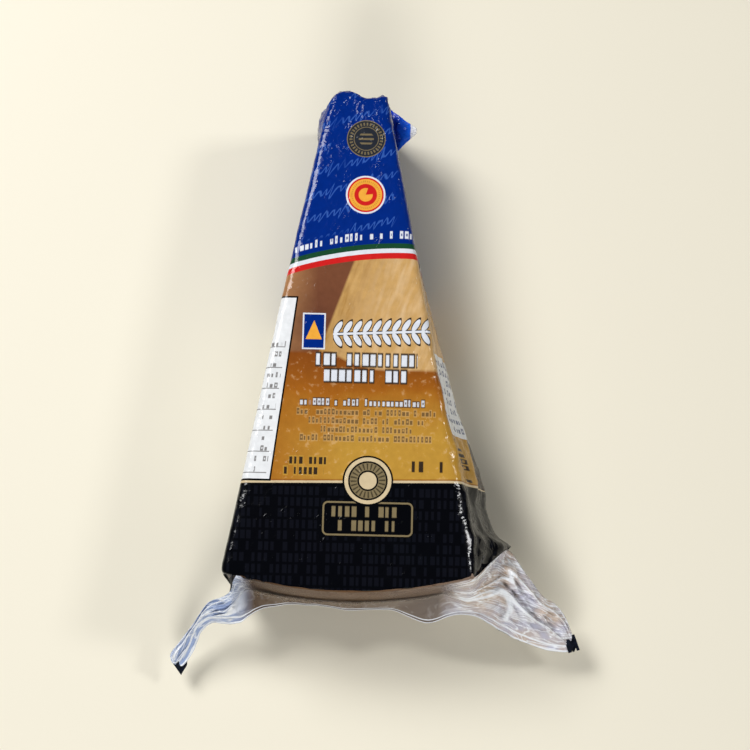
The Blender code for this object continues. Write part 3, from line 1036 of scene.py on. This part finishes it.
# %% Small flat scraps
def scrap(name, corners, finish, segments, shape, wall, replaced=()):
    """A grid stretched between four corners, then shaped, then given a thickness."""
    bm = bmesh.new()
    for vert in bmesh.ops.create_grid(bm, x_segments=segments[0], y_segments=segments[1], size=1)["verts"]:
        s, t = (vert.co.x + 1) / 2, (vert.co.y + 1) / 2
        near = Vector(corners[0]).lerp(Vector(corners[1]), s)
        far = Vector(corners[3]).lerp(Vector(corners[2]), s)
        vert.co = near.lerp(far, t) + Vector(shape(s, t))
    return make_piece(name, bm, finish, replaced, wall)


tip_finish, tree, tip_shader = new_material("black print scrap", 0.55, 0.06)
ruler, x, y, z = ruler_coordinates(tree)
plug(tree, paint(tree, BLACK, ink(30, 34, 46), above(tree, clouds(tree, ruler, 0.7, 3.0), 0.5, 0.4)),
     tip_shader.inputs["Base Color"])
add_bump(tree, tip_shader, clouds(tree, ruler, 0.8, 3.0), 0.3 * MM, 0.8)


def notched(s, t):
    """Two short cuts in the far edge, and a gentle wave."""
    return 0, 1.1 * blend(t, 0.55, 1.0) * (0.3 < s < 0.42 or 0.62 < s < 0.72), 0.5 * math.sin(7 * s)


scrap("ear_tip_right", [(76.9, -16.5, 12.6), (80.7, -15.5, 12.8), (82.8, -20.8, 11.0), (79.0, -22.0, 11.2)],
      tip_finish, (14, 10), notched, 0.25)
scrap("ear_tip_left", [(-61.4, -28.4, 8.6), (-56.3, -26.2, 9.2), (-56.2, -28.9, 8.4), (-58.2, -32.6, 7.4)],
      tip_finish, (10, 8), lambda s, t: (0, 0, 0.3 * math.sin(5 * s)), 0.25)

# %% The gusset at the left corner
# down the corner of the wall, then along the clear film that it meets: shares, and x, y, z at them
WALL_SIDE = ((-41.6, 1.2, 45.2), (-42.2, 1.0, 38.0), (-41.8, 0.6, 30.0), (-41.6, 0.2, 23.0))
FILM_SIDE = ((-38.6, -1.2, 45.0), (-39.0, -2.2, 38.0), (-40.2, -4.0, 30.0), (-41.0, -4.4, 23.0))


def on_line(points, share):
    """The point at this share of a line through these points, which are equally far apart in share."""
    place = min(share, 0.9999) * (len(points) - 1)
    return Vector(points[int(place)]).lerp(Vector(points[int(place) + 1]), place % 1)


bm = bmesh.new()
for vert in bmesh.ops.create_grid(bm, x_segments=16, y_segments=48, size=1)["verts"]:
    s, t = (vert.co.x + 1) / 2, vert.co.y
    place = on_line(WALL_SIDE, 1 - abs(t)).lerp(on_line(FILM_SIDE, 1 - abs(t)), s)
    if t < 0:
        place.z = THICKNESS - place.z
    place += Vector((1, 1, 0)) * (0.5 * math.sin(math.pi * s) + 0.3 * noise.noise(place / 4) * s)
    vert.co = place
make_piece("corner_gusset", bm, tip_finish, (), 0.14)

# %% The flap beside the apex
flap_finish, tree, flap_shader = new_material("printed flap", 0.22)
ruler, x, y, z = ruler_coordinates(tree)
soft = clouds(tree, ruler, 0.35, 2.0)
outward = calc(tree, "MULTIPLY_ADD", soft, 8.0, x)
# Painted shade: the blue is darker towards the flap's root beside the apex and purplish there, lighter
# further out.
colour = paint(tree, ink(8, 66, 200), ink(30, 112, 248), above(tree, outward, 21.0, 5.0))
colour = paint(tree, colour, ink(50, 60, 190), both(tree, below(tree, x, 14.0, 1.5), 0.35))
bare = above(tree, calc(tree, "MULTIPLY_ADD", soft, 0.8, x), 19.4, 0.3)
colour = paint(tree, colour, ink(250, 250, 252), bare)
plug(tree, colour, flap_shader.inputs["Base Color"])
height = use_group(tree, wrinkles, Place=ruler, Density=0.3, Gather=0.4)["Height"]
add_bump(tree, flap_shader, height, 0.3 * MM, 0.6)


def folded(s, t):
    """The flap arches between its two long edges, dips near its root and ripples all over."""
    arch = 1.8 * math.sin(math.pi * t) * (1 - s * 0.6)
    ripple = 0.35 * noise.noise(Vector((s * 5, t * 5, 2))) + 0.5 * crease(Vector((s * 2.2, t * 3.5, 8)))
    return 0, 0, arch + ripple - 0.8 * blend(s, 0.5, 0.2) * blend(s, 0.0, 0.2)


scrap("apex_flap", [(9.6, 174.6, 28.5), (21.2, 165.2, 28.8), (21.0, 164.0, 28.4), (11.4, 155.0, 25.0)],
      flap_finish, (30, 24), folded, 0.35, ["apex_tab"])

# %% [markdown]
# ## Floor, light and camera
#
# The pack lies on a pale table under three soft white lamps: the key on the left, a weaker one on the
# right, and one from the rind's side that lights the clear ears. All stay low enough that the glossy front
# doesn't mirror them straight at us. The camera looks steeply down from the rind's side.

# %% Floor
bm = bmesh.new()
bmesh.ops.create_grid(bm, x_segments=1, y_segments=1, size=3.0)
floor_mesh = bpy.data.meshes.new("floor")
bm.to_mesh(floor_mesh)
bm.free()
floor = bpy.data.objects.new("floor", floor_mesh)
scene.collection.objects.link(floor)
floor_finish, tree, floor_shader = new_material("pale table", 0.6, 0.2)
floor_shader.inputs["Base Color"].default_value = ink(232, 226, 208)
floor_mesh.materials.append(floor_finish)
floor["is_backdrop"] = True

# %% Lamps and world
AIM = to_scene(5, 75, 20)


def add_lamp(name, azimuth, elevation, distance, size, watts, mirrored=True):
    lamp = bpy.data.lights.new(name, "AREA")
    lamp.size = size
    lamp.energy = watts
    holder = bpy.data.objects.new(name, lamp)
    a, e = math.radians(azimuth), math.radians(elevation)
    away = Vector((math.cos(e) * math.sin(a), math.cos(e) * math.cos(a), math.sin(e)))
    turn = away.to_track_quat("Z", "Y").to_matrix().to_4x4()
    holder.matrix_world = Matrix.Translation(AIM + away * distance) @ turn
    holder.visible_glossy = mirrored
    scene.collection.objects.link(holder)


add_lamp("key lamp", -50, 48, 0.95, 0.36, 7.4)
add_lamp("fill lamp", 76, 40, 1.1, 0.16, 3.2)
add_lamp("rind lamp", 185, 36, 1.0, 0.4, 5.4, mirrored=False)
world = bpy.data.worlds.new("studio")
world.use_nodes = True
world.node_tree.nodes["Background"].inputs["Color"].default_value = (1, 1, 1, 1)
world.node_tree.nodes["Background"].inputs["Strength"].default_value = 0.06
scene.world = world
scene.view_settings.view_transform = "Standard"

# %% Camera
AZIMUTH, ELEVATION, ROLL = (math.radians(angle) for angle in (2.5, 78.0, -1.15))
TARGET, DISTANCE = to_scene(8.3, 71, 40), 0.700
level_reach = math.cos(ELEVATION)
back = Vector((math.sin(AZIMUTH) * level_reach, -math.cos(AZIMUTH) * level_reach, math.sin(ELEVATION)))
level = Vector((math.cos(AZIMUTH), math.sin(AZIMUTH), 0))
upward = back.cross(level)
axis_x = level * math.cos(ROLL) + upward * math.sin(ROLL)
axis_y = upward * math.cos(ROLL) - level * math.sin(ROLL)
camera = bpy.data.objects.new("camera", bpy.data.cameras.new("camera"))
camera.data.lens = 96.0
camera.data.clip_start = 0.01
camera.matrix_world = (Matrix.Translation(TARGET + back * DISTANCE)
                       @ Matrix((axis_x, axis_y, back)).transposed().to_4x4())
scene.collection.objects.link(camera)
scene.camera = camera
print("camera stands", [round(value, 3) for value in camera.location], "metres from the origin")

# %% Sizes
low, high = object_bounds()
